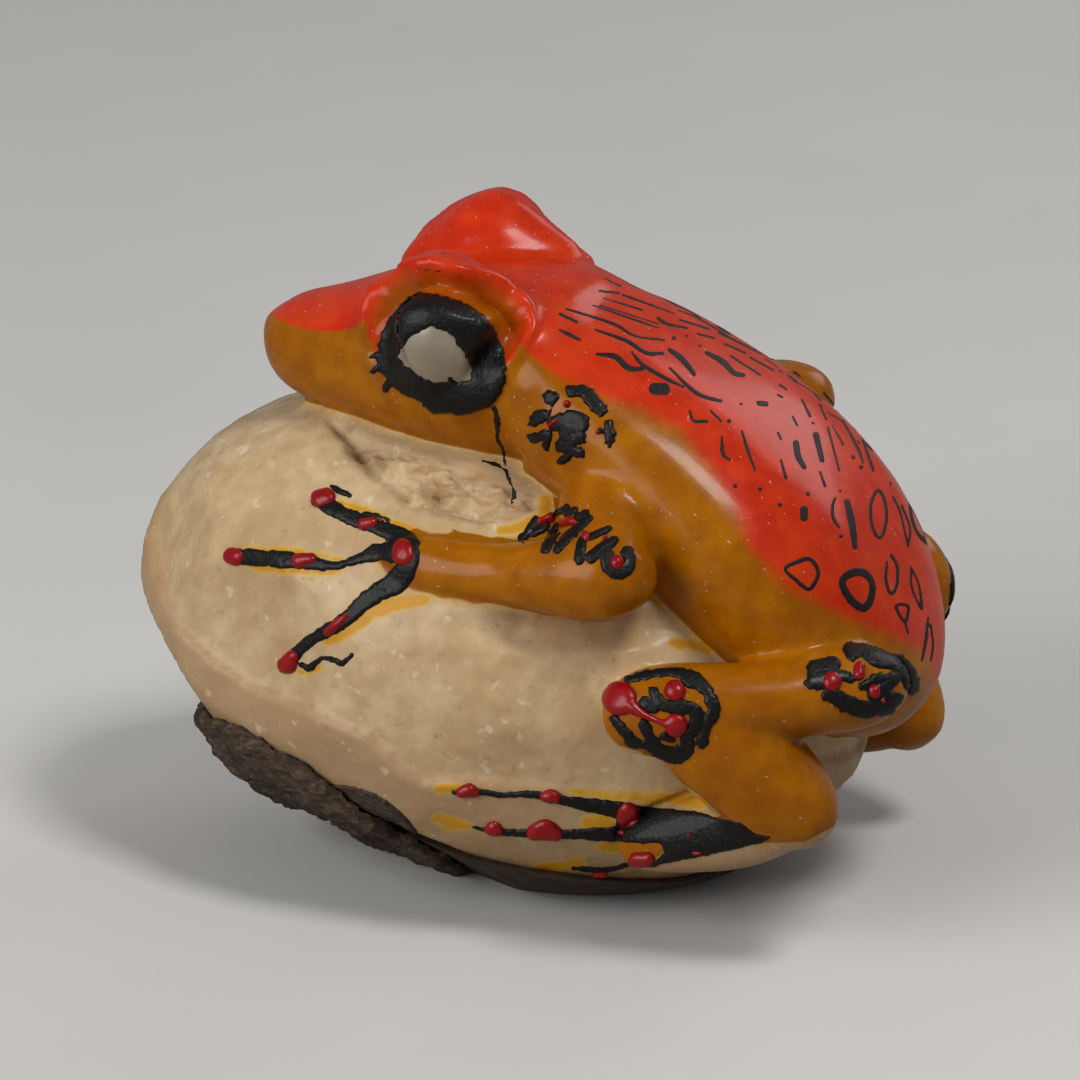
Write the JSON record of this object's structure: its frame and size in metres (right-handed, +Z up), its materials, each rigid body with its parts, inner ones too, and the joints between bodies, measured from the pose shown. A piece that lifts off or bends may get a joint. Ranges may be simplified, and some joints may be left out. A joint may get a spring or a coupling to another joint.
{
  "type": "frog figurine",
  "caption": "Carved vegetable-ivory frog clinging to the nut it is carved from, stained orange-red and amber, with raised black and red painted marks.",
  "frame": {"origin": "on the flat resting face under the middle of the nut", "axes": "+Z up from the surface the nut stands on; the frog looks towards -X, its left side is towards -Y"},
  "size_m": [0.0486, 0.033, 0.0384],
  "materials": {
    "kernel_ivory": "carved and polished vegetable ivory, satin",
    "seed_skin": "thin dark seed skin, dull",
    "husk": "rough fibrous husk, matt",
    "red_stain": "dyed and polished vegetable ivory, satin gloss",
    "amber_stain": "dyed and polished vegetable ivory, satin gloss",
    "black_paint": "raised gloss paint",
    "red_paint": "raised gloss paint"
  },
  "bodies": {
    "root": {"nut_kernel": "kernel_ivory", "seed_skin": "seed_skin", "husk_patch": "husk", "frog_torso": "red_stain", "frog_head": "red_stain", "left_brow": "red_stain", "left_eye": "kernel_ivory", "left_eye_ring": "black_paint", "left_upper_arm": "amber_stain", "left_forearm": "amber_stain", "left_thigh": "amber_stain", "left_shin": "amber_stain", "left_foot": "amber_stain", "left_hand": "black_paint", "left_toes": "black_paint", "left_drops": "red_paint", "right_brow": "red_stain", "right_eye": "kernel_ivory", "right_eye_ring": "black_paint", "right_upper_arm": "amber_stain", "right_forearm": "amber_stain", "right_thigh": "amber_stain", "right_shin": "amber_stain", "right_foot": "amber_stain", "right_hand": "black_paint", "right_toes": "black_paint", "right_drops": "red_paint"}
  },
  "joints": []
}
